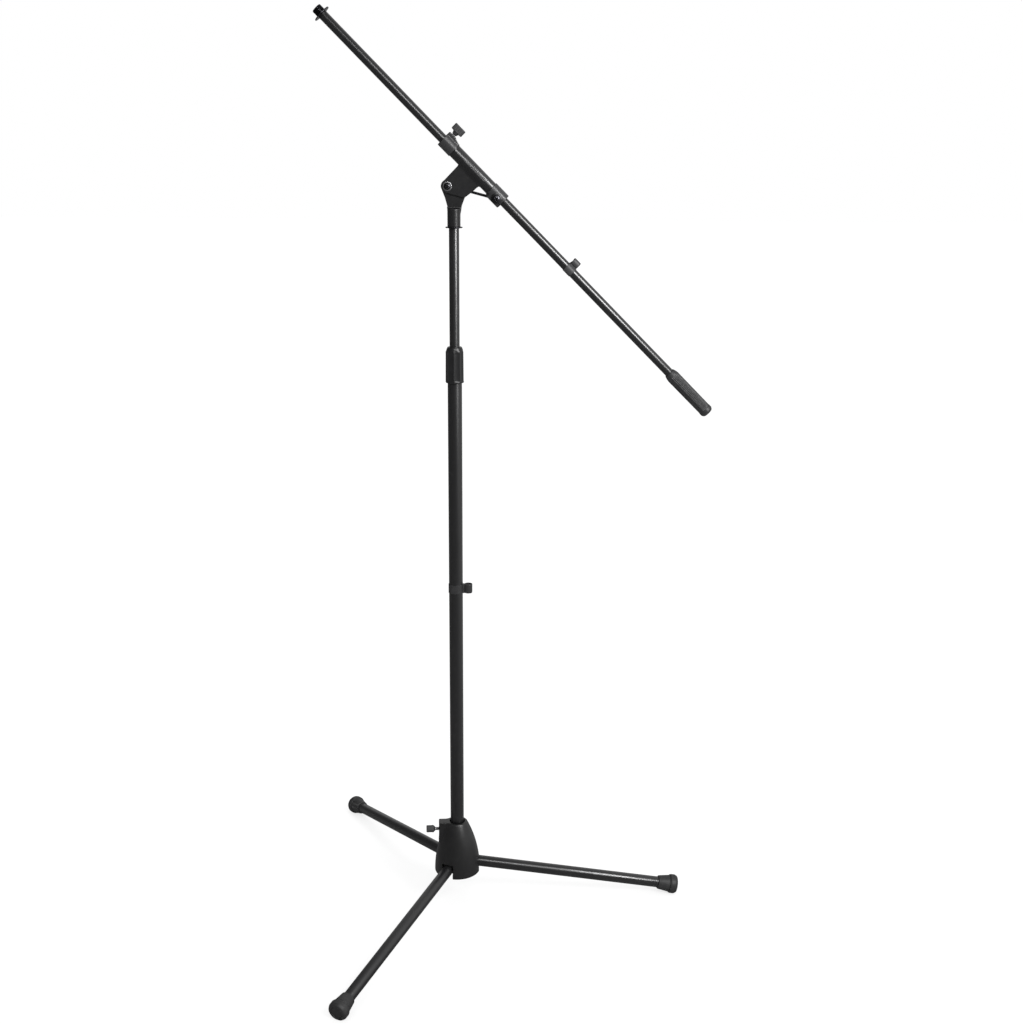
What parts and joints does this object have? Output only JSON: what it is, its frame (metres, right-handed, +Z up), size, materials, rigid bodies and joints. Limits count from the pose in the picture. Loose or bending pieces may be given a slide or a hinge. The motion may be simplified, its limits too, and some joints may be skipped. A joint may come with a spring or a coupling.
{
  "type": "boom microphone stand",
  "caption": "Floor-standing boom microphone stand: folding tripod base, telescopic shaft with twist clutch, and a tilting, sliding boom arm with a counterweight grip.",
  "frame": {"origin": "on the floor, on the axis of the shaft", "axes": "+Z up the shaft, +X towards the counterweight end of the boom, +Y away from the open side of the tilt bolt head"},
  "size_m": [0.6421, 0.6901, 1.4944],
  "materials": {
    "housing": "satin",
    "tube_black": "gloss",
    "cast_black": "satin",
    "knob": "fine moulded",
    "foot_rubber": "matte",
    "clip_plastic": "satin",
    "grip_plastic": "satin",
    "counterweight": "satin",
    "zinc": "bright zinc",
    "black_zinc": "black passivated",
    "steel": "machined",
    "brass": "machined",
    "nylon": "natural"
  },
  "bodies": {
    "lower_tube": {"lower_tube": "tube_black", "lower_tube_plug": "clip_plastic", "shaft_cable_clip": "clip_plastic", "clutch_ferrule": "steel", "clutch_collet": "nylon"},
    "base": {"base_housing": "housing", "leg_hinge_pins": "zinc"},
    "base_pad": {"base_screw_pad": "brass"},
    "base_knob": {"base_screw": "zinc", "base_screw_knob": "knob"},
    "leg_right": {"leg_root_right": "cast_black", "leg_tube_right": "tube_black", "foot_right": "foot_rubber"},
    "leg_back": {"leg_root_back": "cast_black", "leg_tube_back": "tube_black", "foot_back": "foot_rubber"},
    "leg_front": {"leg_root_front": "cast_black", "leg_tube_front": "tube_black", "foot_front": "foot_rubber"},
    "clutch": {"clutch_grip": "grip_plastic"},
    "glide": {"glide_bush": "nylon"},
    "upper_shaft": {"upper_tube": "tube_black", "upper_tube_plug": "clip_plastic", "shaft_stud": "black_zinc", "swivel_head": "cast_black"},
    "boom_clamp": {"boom_bracket": "cast_black", "friction_discs": "nylon", "boom_sleeve": "tube_black", "front_collar": "cast_black", "rear_collar": "cast_black", "rear_collar_screw": "black_zinc", "tilt_bolt": "black_zinc", "tilt_washers": "zinc"},
    "tbar_hub": {"tbar_hub": "black_zinc"},
    "tbar": {"tbar_rod": "black_zinc"},
    "boom_pad": {"boom_screw_pad": "brass"},
    "boom_knob": {"boom_screw": "zinc", "boom_screw_knob": "knob"},
    "liner": {"boom_bushes": "nylon"},
    "boom": {"boom_tube": "tube_black", "boom_tip_stud": "black_zinc", "boom_cable_clip": "clip_plastic", "counterweight_core": "steel", "counterweight_grip": "counterweight"}
  },
  "joints": [
    {"name": "base_slide", "type": "slide", "parent": "lower_tube", "child": "base", "axis": [0, 0, 1], "range_m": [0, 0.3]},
    {"name": "leg_fold_right", "type": "hinge", "parent": "base", "child": "leg_right", "pos_m": [0.02693, 0.00188, 0.0746], "axis": [-0.0698, 0.9976, 0], "range_deg": [0, 80]},
    {"name": "leg_fold_back", "type": "hinge", "parent": "base", "child": "leg_back", "pos_m": [-0.0151, 0.02238, 0.0746], "axis": [-0.829, -0.5592, 0], "range_deg": [0, 80]},
    {"name": "leg_fold_front", "type": "hinge", "parent": "base", "child": "leg_front", "pos_m": [-0.01184, -0.02427, 0.0746], "axis": [0.8988, -0.4384, 0], "range_deg": [0, 80]},
    {"name": "base_pad_travel", "type": "slide", "parent": "base", "child": "base_pad", "axis": [-0.9976, -0.0698, 0], "range_m": [0, 0.002]},
    {"name": "base_knob_turn", "type": "hinge", "parent": "base_pad", "child": "base_knob", "pos_m": [0, 0, 0.1374], "axis": [-0.9976, -0.0698, 0], "range_deg": [0, 720]},
    {"name": "clutch_twist", "type": "hinge", "parent": "lower_tube", "child": "clutch", "pos_m": [0, 0, 0.95], "axis": [0, 0, 1], "range_deg": [0, 120]},
    {"name": "height_slide", "type": "slide", "parent": "lower_tube", "child": "glide", "axis": [0, 0, 1], "range_m": [-0.18, 0.5]},
    {"name": "shaft_swivel", "type": "hinge", "parent": "glide", "child": "upper_shaft", "pos_m": [0, 0, 1], "axis": [0, 0, 1], "continuous": true},
    {"name": "boom_tilt", "type": "hinge", "parent": "upper_shaft", "child": "boom_clamp", "pos_m": [-0.0097, 0, 1.2316], "axis": [0, 1, 0], "range_deg": [-120, 45]},
    {"name": "tbar_turn", "type": "hinge", "parent": "boom_clamp", "child": "tbar_hub", "pos_m": [-0.0097, 0.0175, 1.2316], "axis": [0, 1, 0], "range_deg": [-60, 90]},
    {"name": "tbar_slide", "type": "slide", "parent": "tbar_hub", "child": "tbar", "axis": [0.9681, 0, -0.2504], "range_m": [-0.0595, 0]},
    {"name": "boom_pad_travel", "type": "slide", "parent": "boom_clamp", "child": "boom_pad", "axis": [0.7071, 0, 0.7071], "range_m": [0, 0.001]},
    {"name": "boom_knob_turn", "type": "hinge", "parent": "boom_pad", "child": "boom_knob", "pos_m": [-0.00015, 0, 1.30691], "axis": [0.7071, 0, 0.7071], "range_deg": [0, 360]},
    {"name": "boom_roll", "type": "hinge", "parent": "boom_clamp", "child": "liner", "pos_m": [0.02212, 0, 1.26342], "axis": [0.7071, 0, -0.7071], "continuous": true},
    {"name": "boom_slide", "type": "slide", "parent": "liner", "child": "boom", "axis": [0.7071, 0, -0.7071], "range_m": [-0.13, 0.24]}
  ],
  "couplings": [
    {"joint": "base_knob_turn", "follows": "base_pad_travel", "rad_per_m": 6283.2},
    {"joint": "boom_knob_turn", "follows": "boom_pad_travel", "rad_per_m": 6283.2}
  ]
}
